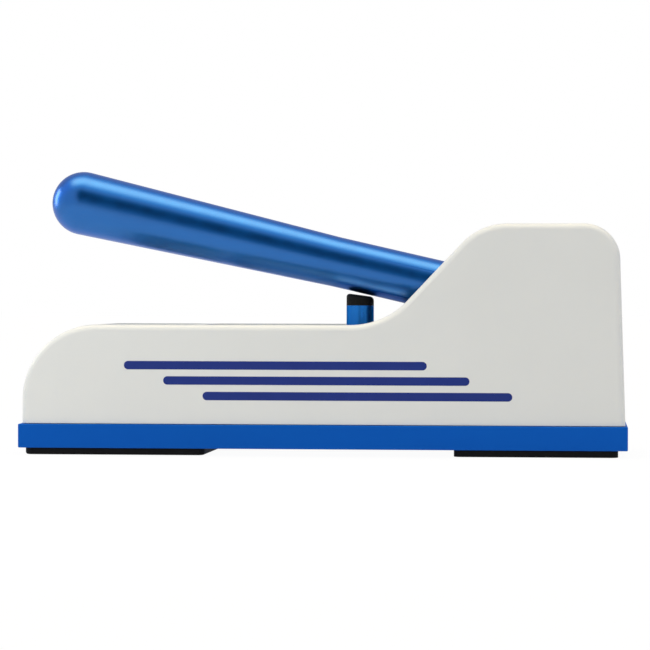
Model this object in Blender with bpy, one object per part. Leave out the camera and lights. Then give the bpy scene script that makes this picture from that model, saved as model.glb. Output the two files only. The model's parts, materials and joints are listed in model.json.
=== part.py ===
"""Lever tablet crusher for a desk: a long tapered handle presses a ram on two guide pillars, which
crushes tablets in a paper pouch against a steel anvil. Metres, +Z up, +X towards the hump at the back.
The origin is the centre of the footprint, on the surface that the feet stand on."""

import math

import bmesh
import bpy
from mathutils import Vector

# Clearances between neighbouring solids
SEAT_GAP = 0.0003
FIT_GAP = 0.0002

# Base plate and feet
BASE_LENGTH = 0.3048
BASE_WIDTH = 0.0889
BASE_THICK = 0.012
BASE_EDGE = 0.0006
FOOT_HEIGHT = 0.0035
BASE_TOP = FOOT_HEIGHT + BASE_THICK
FLOOR = BASE_TOP + SEAT_GAP  # what stands on the base plate starts here
FOOT_HALF_WIDTH = 0.041
FOOT_ROUND = 0.004
FRONT_FOOT = (-0.1496, -0.0586)
REAR_FOOT = (0.0663, 0.1477)

# Housing: the side outline, front to back
WALL = 0.0028
EDGE_ROUND = 0.0032
SIDE_DRAFT = math.radians(1.5)
HOUSING_HALF_WIDTH = 0.0429
NOSE_X = -0.1508
NOSE_R = 0.0375
DECK_Z = 0.0654
SLOPE = math.radians(46.7)
SLOPE_FOOT_X = 0.0315
SLOPE_FOOT_R = 0.0394
BROW_R = 0.0313
HUMP_Z = 0.1161
BACK_R = 0.018
BACK_TOP_X = 0.1485
BACK_FOOT_X = 0.1512
ARC_STEP = math.radians(8)

# Housing: pouch well, trough, and the slot that the handle swings in
WELL = (-0.116, -0.066)
WELL_FLOOR = 0.026
TROUGH = (-0.060, 0.0415)
TROUGH_FLOOR = 0.0447
TROUGH_HALF_WIDTH = 0.037
POCKET_ROUND = 0.006
SLOT_END = 0.082
SLOT_FLOOR = 0.058
SLOT_HALF_WIDTH = 0.018
SLOT_ROUND = 0.003
BROW_WINDOW_TOP = 0.098
ABOVE = 0.14  # cutters that open upwards end here, above the hump

# Handle
HANDLE_TILT = math.radians(12.95)
PIVOT = Vector((0.108, 0, 0.0736))
HANDLE_R = 0.01275
GRIP_R = 0.01625
TAPER_START = 0.1068  # from the pivot, along the handle
GRIP_CENTRE = 0.2407
HANDLE_TAIL = 0.0164
TAIL_CHAMFER = 0.001
FLAT_HALF_WIDTH = 0.011
FLAT_LENGTH = 0.014

# Pivot
PIN_R = 0.00475
PIN_HALF_LENGTH = 0.020
BUSH_R = 0.0064
BUSH_FLANGE_R = 0.0095
BUSH_FLANGE = 0.002
CLIP_R = 0.0075
CLIP_THICK = 0.001
GROOVE_DEPTH = 0.0006
STOP_ROD_R = 0.003
STOP_SLEEVE_R = 0.0055
STOP_ALONG = 0.0185  # from the pivot, along the handle

# Pivot bracket
BRACKET_X = (0.087, 0.130)
BRACKET_TOP = 0.104
BRACKET_INNER = 0.0136
BRACKET_THICK = 0.0035
BRACKET_FLOOR = 0.003

# Ram, guide pillars and anvil
RAM_X = 0.0166
PILLAR_Y = 0.0275
PILLAR_R = 0.004
ANVIL_BLOCK = (-0.0054, 0.0386)
ANVIL_BLOCK_HALF_WIDTH = 0.0355
ANVIL_PLATE_HALF = (0.020, 0.019)
ANVIL_TOP = 0.0455
ANVIL_THICK = 0.005
SPRING_WELL_R = 0.0063
SPRING_WELL_DEPTH = 0.014
RAM_PLATE_HALF = (0.019, 0.0345)
RAM_PLATE_Z = (0.056, 0.062)
RAM_BUSH_R = 0.006
RAM_BUSH_FLANGE_R = 0.0068
RAM_BUSH_FLANGE = 0.001
PAD_R = 0.016
PAD_Z = (0.0537, 0.0558)
POST_R = 0.007
POST_TOP = 0.0751
CAP_THICK = 0.0053  # on its axis
CAP_ROUND = 0.0018
CAP_SLANT = math.radians(7.5)

# Springs
RAM_SPRING = dict(coil_r=0.0052, wire_r=0.0006, turns=6.5)
HANDLE_SPRING = dict(coil_r=0.00635, wire_r=0.00065, turns=11)
HANDLE_SPRING_X = 0.060
BUTTON_R = 0.0072
BUTTON_Z = (0.0719, 0.0743)
SPRING_PEG_R = 0.0045
SEAT_R = 0.009
SEAT_THICK = 0.003

# Screws
SCREW_R = 0.002
SCREW_HOLE_R = 0.0023
SCREW_CLEARANCE_R = 0.0024
HEAD_R = 0.0042
HEAD_HEIGHT = 0.0043
SINK_R = 0.0048
SINK_DEPTH = 0.006
HOUSING_SCREWS = [(x, y) for x in (-0.122, -0.040, 0.1426) for y in (-0.025, 0.025)]
ANVIL_SCREWS = [(x, y) for x in (-0.0004, 0.0336) for y in (-0.012, 0.012)]
BRACKET_SCREWS = [(x, y) for x in (0.094, 0.122) for y in (-0.0085, 0.0085)]
SEAT_SCREW = (HANDLE_SPRING_X, 0)
BOSS_R = 0.0045
REAR_BOSS_R = 0.0062

ROUND = 20  # sides of a round piece
SMALL_ROUND = 10  # sides of a screw

SIDES = (("left", -1), ("right", 1))


def clear_scene():
    for obj in list(bpy.data.objects):
        bpy.data.objects.remove(obj, do_unlink=True)


def material(name, colour, roughness, metallic=0.0):
    made = bpy.data.materials.new(name)
    made.use_nodes = True
    shader = made.node_tree.nodes["Principled BSDF"]
    shader.inputs["Base Color"].default_value = (*colour, 1)
    shader.inputs["Roughness"].default_value = roughness
    shader.inputs["Metallic"].default_value = metallic
    return made


# Objects

def add_object(name, bm, finish=None, parent=None):
    """Turns a bmesh into an object. With no finish it is a helper that only cuts or joins."""
    bmesh.ops.recalc_face_normals(bm, faces=bm.faces)
    mesh = bpy.data.meshes.new(name)
    bm.to_mesh(mesh)
    bm.free()
    obj = bpy.data.objects.new(name, mesh)
    bpy.context.scene.collection.objects.link(obj)
    obj.parent = parent
    if finish is None:
        obj.hide_render = True
        obj.display_type = "WIRE"
    else:
        mesh.materials.append(finish)
        mesh.shade_smooth()
        mesh.set_sharp_from_angle(angle=math.radians(35))
    return obj


def add_empty(name, place, turn_y=0.0):
    empty = bpy.data.objects.new(name, None)
    bpy.context.scene.collection.objects.link(empty)
    empty.location = place
    empty.rotation_euler = (0, turn_y, 0)
    return empty


def boolean(target, operation, tool):
    modifier = target.modifiers.new(operation.lower() + "_" + tool.name, "BOOLEAN")
    modifier.operation = operation
    modifier.solver = "EXACT"
    modifier.object = tool


def cut(target, *tools):
    for tool in tools:
        boolean(target, "DIFFERENCE", tool)


# Shapes

def arc(centre, radius, start, end, step=ARC_STEP):
    """Points along an arc, both ends included; angles from +X."""
    count = max(2, math.ceil(abs(end - start) / step))
    angles = [start + (end - start) * i / count for i in range(count + 1)]
    return [(centre[0] + radius * math.cos(a), centre[1] + radius * math.sin(a)) for a in angles]


def rounded_rectangle(x0, x1, y0, y1, radius):
    quarter = math.pi / 2
    centres = [(x1 - radius, y1 - radius), (x0 + radius, y1 - radius),
               (x0 + radius, y0 + radius), (x1 - radius, y0 + radius)]
    points = []
    for i, centre in enumerate(centres):
        points += arc(centre, radius, i * quarter, (i + 1) * quarter, quarter / 3)
    return points


def prism(name, outline, low, high, finish=None, parent=None, along="Z"):
    """Extrudes an outline from low to high: an XY outline along Z, or an XZ outline along Y."""
    bm = bmesh.new()
    if along == "Z":
        ring = [bm.verts.new((a, b, low)) for a, b in outline]
        step = Vector((0, 0, high - low))
    else:
        ring = [bm.verts.new((a, low, b)) for a, b in outline]
        step = Vector((0, high - low, 0))
    face = bm.faces.new(ring)
    made = bmesh.ops.extrude_face_region(bm, geom=[face])["geom"]
    bmesh.ops.translate(bm, vec=step, verts=[v for v in made if isinstance(v, bmesh.types.BMVert)])
    return add_object(name, bm, finish, parent)


def slab(name, x, y, z, finish=None, parent=None, corner=0.0, edge=0.0):
    """A block between pairs of coordinates, with rounded upright corners and a small edge bevel."""
    if corner:
        outline = rounded_rectangle(*x, *y, corner)
    else:
        outline = [(x[0], y[0]), (x[1], y[0]), (x[1], y[1]), (x[0], y[1])]
    obj = prism(name, outline, *z, finish, parent)
    if edge:
        bevel = obj.modifiers.new("edge", "BEVEL")
        bevel.width = edge
        bevel.segments = 1
        bevel.limit_method = "ANGLE"
        bevel.angle_limit = math.radians(60)
    return obj


def turned(name, profile, finish=None, parent=None, place=(0, 0, 0), along="Z", sides=ROUND):
    """Spins a profile of (radius, height) points about an axis. A profile that starts and ends on the
    axis makes a solid piece; any other is closed into a ring."""
    bm = bmesh.new()
    verts = [bm.verts.new((r, 0, h)) for r, h in profile]
    edges = [bm.edges.new(pair) for pair in zip(verts, verts[1:])]
    if profile[0][0] or profile[-1][0]:
        edges.append(bm.edges.new((verts[-1], verts[0])))
    bmesh.ops.spin(bm, geom=verts + edges, cent=(0, 0, 0), axis=(0, 0, 1),
                   angle=2 * math.pi, steps=sides, use_merge=True)
    bmesh.ops.remove_doubles(bm, verts=bm.verts, dist=1e-7)
    obj = add_object(name, bm, finish, parent)
    obj.location = place
    if along == "Y":
        obj.rotation_euler = (-math.pi / 2, 0, 0)
    return obj


def rod(name, radius, low, high, finish=None, parent=None, place=(0, 0, 0), along="Z", sides=ROUND):
    """A plain cylinder from low to high along its axis."""
    profile = [(0, low), (radius, low), (radius, high), (0, high)]
    return turned(name, profile, finish, parent, place, along, sides)


def coil_spring(name, coil_r, wire_r, turns, low, high, place, finish):
    """A compression spring between two heights, as a bevelled helix."""
    per_turn = 10
    count = int(turns * per_turn)
    curve = bpy.data.curves.new(name, "CURVE")
    curve.dimensions = "3D"
    curve.bevel_depth = wire_r
    curve.bevel_resolution = 0
    curve.use_fill_caps = True
    spline = curve.splines.new("POLY")
    spline.points.add(count)
    for i, point in enumerate(spline.points):
        angle = 2 * math.pi * i / per_turn
        height = low + wire_r + (high - low - 2 * wire_r) * i / count
        point.co = (coil_r * math.cos(angle), coil_r * math.sin(angle), height, 1)
    obj = bpy.data.objects.new(name, curve)
    bpy.context.scene.collection.objects.link(obj)
    obj.location = place
    curve.materials.append(finish)
    return obj


# Base plate and feet

def screw_places():
    return HOUSING_SCREWS + ANVIL_SCREWS + BRACKET_SCREWS + [SEAT_SCREW]


def make_base(finish_plate, finish_rubber):
    half_length, half_width = BASE_LENGTH / 2, BASE_WIDTH / 2
    plate = slab("base_plate", (-half_length, half_length), (-half_width, half_width),
                 (FOOT_HEIGHT, BASE_TOP), finish_plate, edge=BASE_EDGE)
    sink_top = FOOT_HEIGHT + SINK_DEPTH
    for i, (x, y) in enumerate(screw_places()):
        hole = turned(f"base_hole_{i}", [(0, 0), (SINK_R, 0), (SINK_R, sink_top),
                                         (SCREW_CLEARANCE_R, sink_top), (SCREW_CLEARANCE_R, 0.02), (0, 0.02)],
                      place=(x, y, 0), sides=SMALL_ROUND)
        cut(plate, hole)
    for name, span in (("front_foot_pad", FRONT_FOOT), ("rear_foot_pad", REAR_FOOT)):
        slab(name, span, (-FOOT_HALF_WIDTH, FOOT_HALF_WIDTH), (0, FOOT_HEIGHT - FIT_GAP),
             finish_rubber, corner=FOOT_ROUND)


# Housing

def side_outline(inset, foot_z):
    """The housing's side outline, moved inwards by inset and carried down to foot_z."""
    nose = (NOSE_X + NOSE_R, DECK_Z - NOSE_R)
    foot = (SLOPE_FOOT_X - SLOPE_FOOT_R * math.tan(SLOPE / 2), DECK_Z + SLOPE_FOOT_R)
    top_x = SLOPE_FOOT_X + (HUMP_Z - DECK_Z) / math.tan(SLOPE)
    brow = (top_x + BROW_R * math.tan(SLOPE / 2), HUMP_Z - BROW_R)
    back = (BACK_TOP_X - BACK_R, HUMP_Z - BACK_R)
    up = math.pi / 2
    return (
        [(NOSE_X + inset, foot_z)]
        + arc(nose, NOSE_R - inset, 2 * up, up)
        + arc(foot, SLOPE_FOOT_R + inset, -up, -up + SLOPE)
        + arc(brow, BROW_R - inset, up + SLOPE, up)
        + arc(back, BACK_R - inset, up, 0, 2 * ARC_STEP)
        + [(BACK_FOOT_X - inset, foot_z)]
    )


def drafted_body(name, inset, foot_z, edge_round, finish=None):
    """The side outline given width: the two sides lean in towards the top."""
    bm = bmesh.new()
    rings = []
    for _, side in SIDES:
        ring = []
        for x, z in side_outline(inset, foot_z):
            half = HOUSING_HALF_WIDTH - inset - math.tan(SIDE_DRAFT) * (z - FLOOR)
            ring.append(bm.verts.new((x, side * half, z)))
        rings.append(ring)
        bm.faces.new(ring)
    count = len(rings[0])
    for i in range(count):
        after = (i + 1) % count
        bm.faces.new((rings[0][i], rings[0][after], rings[1][after], rings[1][i]))
    if edge_round:
        rims = [bm.edges.get((ring[i], ring[i + 1])) for ring in rings for i in range(count - 1)]
        bmesh.ops.recalc_face_normals(bm, faces=bm.faces)
        bmesh.ops.bevel(bm, geom=rims, offset=edge_round, segments=3, profile=0.5,
                        affect="EDGES", clamp_overlap=False)
    return add_object(name, bm, finish)


def make_housing(finish):
    """One moulding: an open-bottomed shell with a well, a trough and a handle slot let into its top."""
    shell = drafted_body("housing_shell", 0, FLOOR, EDGE_ROUND, finish)
    cavity = drafted_body("housing_cavity", WALL, 0.008, 0)
    wide = TROUGH_HALF_WIDTH + WALL
    narrow = SLOT_HALF_WIDTH + WALL
    cut(
        cavity,
        slab("well_walls", (WELL[0] - WALL, WELL[1] + 0.004), (-wide, wide), (WELL_FLOOR - WALL, ABOVE)),
        slab("trough_walls", (TROUGH[0] - WALL, TROUGH[1] + WALL), (-wide, wide),
             (TROUGH_FLOOR - WALL, ABOVE)),
        slab("slot_walls", (TROUGH[1], SLOT_END + WALL), (-narrow, narrow), (SLOT_FLOOR - WALL, ABOVE)),
    )
    trough = (-TROUGH_HALF_WIDTH, TROUGH_HALF_WIDTH)
    slot = (-SLOT_HALF_WIDTH, SLOT_HALF_WIDTH)
    opening_half = ANVIL_BLOCK_HALF_WIDTH + 0.0005
    cut(
        shell,
        cavity,
        slab("well_pocket", WELL, trough, (WELL_FLOOR, ABOVE), corner=POCKET_ROUND),
        slab("trough_pocket", TROUGH, trough, (TROUGH_FLOOR, ABOVE), corner=POCKET_ROUND),
        slab("slot_pocket", (TROUGH[1] - POCKET_ROUND, SLOT_END), slot, (SLOT_FLOOR, ABOVE),
             corner=SLOT_ROUND),
        slab("brow_window", (SLOT_END - SLOT_ROUND - 0.001, SLOT_END + 2 * WALL), slot,
             (SLOT_FLOOR, BROW_WINDOW_TOP)),
        slab("anvil_opening", (ANVIL_BLOCK[0] - 0.0006, ANVIL_BLOCK[1] + 0.0006),
             (-opening_half, opening_half), (TROUGH_FLOOR - 2 * WALL, TROUGH_FLOOR + WALL)),
        rod("spring_opening", 0.0095, SLOT_FLOOR - 2 * WALL, SLOT_FLOOR + WALL,
            place=(HANDLE_SPRING_X, 0, 0)),
    )
    for i, (x, y) in enumerate(HOUSING_SCREWS):
        rear = x > 0.1
        boss_top = 0.045 if rear else 0.0425
        boss = rod(f"boss_{i}", REAR_BOSS_R if rear else BOSS_R, FLOOR + SEAT_GAP, boss_top,
                   place=(x, y, 0), sides=16)
        boolean(shell, "UNION", boss)
        cut(shell, rod(f"boss_hole_{i}", SCREW_HOLE_R, 0.012, 0.031, place=(x, y, 0), sides=SMALL_ROUND))
    return shell


# Handle and its pivot

def make_handle(frame, finish, finish_bush, finish_button):
    taper = math.atan((GRIP_R - HANDLE_R) / (GRIP_CENTRE - TAPER_START))
    dome = arc((0, GRIP_CENTRE), GRIP_R, -taper, math.pi / 2, math.radians(13))
    dome[-1] = (0, GRIP_CENTRE + GRIP_R)
    profile = [(0, -HANDLE_TAIL), (HANDLE_R - TAIL_CHAMFER, -HANDLE_TAIL),
               (HANDLE_R, -HANDLE_TAIL + TAIL_CHAMFER), (HANDLE_R, TAPER_START)] + dome
    bar = turned("handle_bar", profile, finish, frame, sides=32)
    for name, side in SIDES:
        span = sorted((side * FLAT_HALF_WIDTH, side * 2 * HANDLE_R))
        cut(bar, slab(f"flat_{name}", (-2 * HANDLE_R, 2 * HANDLE_R), span, (-2 * HANDLE_TAIL, FLAT_LENGTH),
                      parent=frame))
    cut(bar, rod("cross_bore", BUSH_R + FIT_GAP, -2 * HANDLE_R, 2 * HANDLE_R, parent=frame, along="Y"))
    cut(bar, rod("button_seat", BUTTON_R + 0.0006, 0.05, BUTTON_Z[1] + FIT_GAP,
                 place=(HANDLE_SPRING_X, 0, 0)))

    for name, side in SIDES:
        flange_in = FLAT_HALF_WIDTH + FIT_GAP
        bore = PIN_R + FIT_GAP
        bush = [(bore, side * 0.001), (BUSH_R, side * 0.001), (BUSH_R, side * flange_in),
                (BUSH_FLANGE_R, side * flange_in), (BUSH_FLANGE_R, side * (flange_in + BUSH_FLANGE)),
                (bore, side * (flange_in + BUSH_FLANGE))]
        turned(f"pivot_bush_{name}", bush, finish_bush, frame, along="Y")

    button = turned("spring_button", [(0, BUTTON_Z[0] - 0.006), (SPRING_PEG_R - 0.001, BUTTON_Z[0] - 0.006),
                                      (SPRING_PEG_R, BUTTON_Z[0] - 0.005), (SPRING_PEG_R, BUTTON_Z[0]),
                                      (BUTTON_R, BUTTON_Z[0]), (BUTTON_R, BUTTON_Z[1]), (0, BUTTON_Z[1])],
                    finish_button, place=(HANDLE_SPRING_X, 0, 0))
    return bar, button


def grooved_rod(name, radius, finish, place):
    """A cross rod with a clip groove near each end."""
    outside = BRACKET_INNER + BRACKET_THICK + SEAT_GAP
    groove = (outside, outside + CLIP_THICK + FIT_GAP)
    thin = radius - GROOVE_DEPTH
    half = [(radius, groove[0]), (thin, groove[0]), (thin, groove[1]), (radius, groove[1]),
            (radius, PIN_HALF_LENGTH - 0.0005), (radius - 0.0005, PIN_HALF_LENGTH), (0, PIN_HALF_LENGTH)]
    profile = [(r, -h) for r, h in reversed(half)] + half
    return turned(name, profile, finish, place=place, along="Y", sides=20)


def retaining_clip(name, radius, side, finish, place):
    """An open ring that snaps into the groove of a rod of this radius."""
    mouth = math.radians(38)
    inner = radius - GROOVE_DEPTH + FIT_GAP
    outer = radius + 0.0028
    outline = arc((0, 0), outer, mouth, 2 * math.pi - mouth, math.radians(15))
    outline += arc((0, 0), inner, 2 * math.pi - mouth, mouth, math.radians(15))
    low = BRACKET_INNER + BRACKET_THICK + SEAT_GAP + FIT_GAP / 2
    span = sorted((side * low, side * (low + CLIP_THICK)))
    clip = prism(name, outline, *span, finish, along="Y")
    clip.location = place
    return clip


def stop_place():
    """The stop rod lies on the handle's upper side, its sleeve just clear of the bar."""
    along = Vector((-math.cos(HANDLE_TILT), 0, math.sin(HANDLE_TILT)))
    up = Vector((math.sin(HANDLE_TILT), 0, math.cos(HANDLE_TILT)))
    return PIVOT + along * STOP_ALONG + up * (HANDLE_R + STOP_SLEEVE_R + SEAT_GAP)


def make_bracket(finish, finish_pin, finish_clip, finish_sleeve):
    """A folded steel U that carries the pivot pin and the stop rod."""
    outer = BRACKET_INNER + BRACKET_THICK
    x0, x1 = BRACKET_X
    sides = [(x0, FLOOR), (x1, FLOOR), (x1, 0.034), (0.1205, 0.074), (0.118, 0.086),
             (0.105, BRACKET_TOP), (x0 + 0.003, BRACKET_TOP), (x0, BRACKET_TOP - 0.003)]
    bracket = prism("pivot_bracket", sides, -outer, outer, finish, along="Y")
    cut(bracket, slab("bracket_gap", (x0 - 0.01, x1 + 0.01), (-BRACKET_INNER, BRACKET_INNER),
                      (FLOOR + BRACKET_FLOOR, ABOVE)))
    stop = stop_place()
    cut(
        bracket,
        rod("pin_bore", PIN_R + FIT_GAP, -0.03, 0.03, place=PIVOT, along="Y", sides=20),
        rod("stop_bore", STOP_ROD_R + FIT_GAP, -0.03, 0.03, place=stop, along="Y", sides=20),
    )
    for i, (x, y) in enumerate(BRACKET_SCREWS):
        cut(bracket, rod(f"bracket_hole_{i}", SCREW_HOLE_R, 0.01, 0.03, place=(x, y, 0), sides=SMALL_ROUND))

    grooved_rod("pivot_pin", PIN_R, finish_pin, PIVOT)
    grooved_rod("stop_rod", STOP_ROD_R, finish_pin, stop)
    for name, side in SIDES:
        retaining_clip(f"pivot_clip_{name}", PIN_R, side, finish_clip, PIVOT)
        retaining_clip(f"stop_clip_{name}", STOP_ROD_R, side, finish_clip, stop)
    half = BRACKET_INNER - SEAT_GAP
    turned("stop_sleeve", [(STOP_ROD_R + FIT_GAP, -half), (STOP_SLEEVE_R, -half), (STOP_SLEEVE_R, half),
                           (STOP_ROD_R + FIT_GAP, half)], finish_sleeve, place=stop, along="Y")


def make_handle_spring(finish_spring, finish_seat):
    place = (HANDLE_SPRING_X, 0, 0)
    seat_top = FLOOR + SEAT_THICK
    peg_top = seat_top + 0.008
    seat = turned("spring_seat", [(0, FLOOR), (SEAT_R, FLOOR), (SEAT_R, seat_top), (SPRING_PEG_R, seat_top),
                                  (SPRING_PEG_R, peg_top - 0.001), (SPRING_PEG_R - 0.001, peg_top),
                                  (0, peg_top)], finish_seat, place=place)
    cut(seat, rod("seat_hole", SCREW_HOLE_R, 0.01, 0.0245, place=place, sides=SMALL_ROUND))
    coil_spring("handle_spring", low=seat_top + SEAT_GAP, high=BUTTON_Z[0] - SEAT_GAP, place=place,
                finish=finish_spring, **HANDLE_SPRING)


# Anvil, pillars and ram

def make_anvil(finish_block, finish_steel, finish_spring, finish_screw):
    half_x, half_y = ANVIL_PLATE_HALF
    plate_low = ANVIL_TOP - ANVIL_THICK
    block = slab("anvil_block", ANVIL_BLOCK, (-ANVIL_BLOCK_HALF_WIDTH, ANVIL_BLOCK_HALF_WIDTH),
                 (FLOOR, TROUGH_FLOOR), finish_block)
    pocket_x = (RAM_X - half_x - SEAT_GAP, RAM_X + half_x + SEAT_GAP)
    pocket_y = (-half_y - SEAT_GAP, half_y + SEAT_GAP)
    cut(block, slab("anvil_pocket", pocket_x, pocket_y, (plate_low - SEAT_GAP, ABOVE)))
    slab("anvil_plate", (RAM_X - half_x, RAM_X + half_x), (-half_y, half_y), (plate_low, ANVIL_TOP),
         finish_steel, edge=0.0004)
    well_low = TROUGH_FLOOR - SPRING_WELL_DEPTH
    pillar_low = 0.018
    pillar_top = RAM_PLATE_Z[1] + SEAT_GAP
    for name, side in SIDES:
        place = (RAM_X, side * PILLAR_Y, 0)
        bore = [(0, pillar_low - SEAT_GAP), (PILLAR_R + FIT_GAP, pillar_low - SEAT_GAP),
                (PILLAR_R + FIT_GAP, well_low), (SPRING_WELL_R, well_low), (SPRING_WELL_R, 0.05), (0, 0.05)]
        cut(block, turned(f"pillar_bore_{name}", bore, place=place))
        pillar = rod(f"guide_pillar_{name}", PILLAR_R, pillar_low, pillar_top, finish_steel, place=place)
        cut(pillar, rod(f"pillar_thread_{name}", SCREW_HOLE_R, 0.052, 0.07, place=place, sides=SMALL_ROUND))
        head_low = pillar_top + FIT_GAP
        screw = [(0, 0.0535), (SCREW_R, 0.0535), (SCREW_R, head_low), (0.0066, head_low),
                 (0.0066, head_low + 0.0008), (0.0042, head_low + 0.0009), (0.0036, head_low + 0.0019),
                 (0.0016, head_low + 0.0023), (0.0015, head_low + 0.0012), (0, head_low + 0.0012)]
        turned(f"pillar_screw_{name}", screw, finish_screw, place=place, sides=20)
        coil_spring(f"ram_spring_{name}", low=well_low + FIT_GAP,
                    high=RAM_PLATE_Z[0] - RAM_BUSH_FLANGE - FIT_GAP, place=place, finish=finish_spring,
                    **RAM_SPRING)
    for i, (x, y) in enumerate(ANVIL_SCREWS):
        cut(block, rod(f"anvil_hole_{i}", SCREW_HOLE_R, 0.01, 0.033, place=(x, y, 0), sides=SMALL_ROUND))


def make_ram(frame, finish_plate, finish_steel, finish_bush, finish_post, finish_rubber, finish_screw):
    """The moving group. Its frame empty stands on the ram's axis, so x is counted from there."""
    half_x, half_y = RAM_PLATE_HALF
    plate = slab("ram_plate", (-half_x, half_x), (-half_y, half_y), RAM_PLATE_Z, finish_plate, frame,
                 corner=0.004, edge=0.0005)
    cut(plate, rod("ram_hole", SCREW_CLEARANCE_R, 0.05, 0.07, parent=frame, sides=SMALL_ROUND))
    for name, side in SIDES:
        place = (0, side * PILLAR_Y, 0)
        cut(plate, rod(f"bush_bore_{name}", RAM_BUSH_R + FIT_GAP, 0.05, 0.07, parent=frame, place=place))
        inner = PILLAR_R + FIT_GAP
        low = RAM_PLATE_Z[0] - RAM_BUSH_FLANGE
        turned(f"ram_bush_{name}", [(inner, low), (RAM_BUSH_FLANGE_R, low),
                                    (RAM_BUSH_FLANGE_R, RAM_PLATE_Z[0] - FIT_GAP),
                                    (RAM_BUSH_R, RAM_PLATE_Z[0] - FIT_GAP), (RAM_BUSH_R, RAM_PLATE_Z[1]),
                                    (inner, RAM_PLATE_Z[1])], finish_bush, frame, place=place)

    sunk = PAD_Z[0] + 0.0022
    turned("crush_pad", [(0.0044, PAD_Z[0]), (PAD_R - 0.0004, PAD_Z[0]), (PAD_R, PAD_Z[0] + 0.0004),
                         (PAD_R, PAD_Z[1]), (SCREW_CLEARANCE_R, PAD_Z[1])], finish_steel, frame, sides=32)
    turned("ram_screw", [(0, PAD_Z[0] + 0.0012), (0.0014, PAD_Z[0] + 0.0012), (0.0014, PAD_Z[0] + FIT_GAP),
                         (0.0038, PAD_Z[0] + FIT_GAP), (SCREW_R, sunk), (SCREW_R, 0.0705), (0, 0.0705)],
           finish_screw, frame, sides=16)

    post_low = RAM_PLATE_Z[1] + FIT_GAP
    post = rod("ram_post", POST_R, post_low, POST_TOP, finish_post, frame)
    cut(post, rod("post_thread", SCREW_HOLE_R, 0.055, 0.0712, parent=frame, sides=SMALL_ROUND))

    cap_low = POST_TOP + FIT_GAP
    cap_top = POST_TOP + CAP_THICK
    edge = arc((POST_R - CAP_ROUND, cap_top - CAP_ROUND), CAP_ROUND, 0, math.pi / 2, math.radians(30))
    cap = turned("ram_cap", [(0, cap_low), (POST_R, cap_low)] + edge + [(0, cap_top)], finish_rubber, frame)
    for vertex in cap.data.vertices:
        if vertex.co.z > cap_low + FIT_GAP:
            vertex.co.z -= math.tan(CAP_SLANT) * vertex.co.x


# Screws

def base_screw(name, place, tip, finish):
    """A cap screw from below: its head lies in the base plate's counterbore."""
    head_top = FOOT_HEIGHT + SINK_DEPTH - FIT_GAP
    head_low = head_top - HEAD_HEIGHT
    profile = [(0, head_low + 0.002), (0.0018, head_low + 0.002), (0.0018, head_low), (HEAD_R, head_low),
               (HEAD_R, head_top), (SCREW_R, head_top), (SCREW_R, tip), (0, tip)]
    turned(name, profile, finish, place=(*place, 0), sides=SMALL_ROUND)


def make_screws(finish):
    groups = (("housing_screw", HOUSING_SCREWS, 0.029), ("anvil_screw", ANVIL_SCREWS, 0.031),
              ("bracket_screw", BRACKET_SCREWS, 0.021), ("seat_screw", [SEAT_SCREW], 0.023))
    for group, places, tip in groups:
        for i, place in enumerate(places, 1):
            base_screw(group if len(places) == 1 else f"{group}_{i}", place, tip, finish)


def main():
    clear_scene()
    blue_base = material("blue_base", (0.012, 0.125, 0.42), 0.35)
    blue_metal = material("blue_metal", (0.015, 0.13, 0.45), 0.25, 1.0)
    white = material("white_plastic", (0.80, 0.80, 0.77), 0.4)
    rubber = material("black_rubber", (0.012, 0.012, 0.012), 0.7)
    steel = material("bracket_steel", (0.55, 0.56, 0.57), 0.35, 1.0)
    stainless = material("stainless", (0.70, 0.70, 0.69), 0.22, 1.0)
    aluminium = material("aluminium", (0.72, 0.73, 0.74), 0.4, 1.0)
    bronze = material("bronze", (0.55, 0.34, 0.14), 0.35, 1.0)
    nylon = material("nylon", (0.75, 0.73, 0.66), 0.5)
    spring = material("spring_steel", (0.45, 0.45, 0.46), 0.3, 1.0)
    zinc = material("zinc_screw", (0.60, 0.60, 0.58), 0.3, 1.0)

    make_base(blue_base, rubber)
    make_housing(white)
    make_bracket(steel, stainless, spring, rubber)

    handle_frame = add_empty("handle_pivot", PIVOT, HANDLE_TILT - math.pi / 2)
    make_handle(handle_frame, blue_metal, nylon, nylon)
    make_handle_spring(spring, nylon)

    make_anvil(aluminium, stainless, spring, zinc)
    ram_frame = add_empty("ram_axis", (RAM_X, 0, 0))
    make_ram(ram_frame, aluminium, stainless, bronze, blue_metal, rubber, zinc)
    make_screws(zinc)


main()
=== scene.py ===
"""Looks for the lever tablet crusher: smooth, detailed pieces and procedural finishes around the CAD frame.
Metres, +Z up, +X towards the hump, and the camera looks along +Y at the crusher's left side."""

import json
import math

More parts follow.
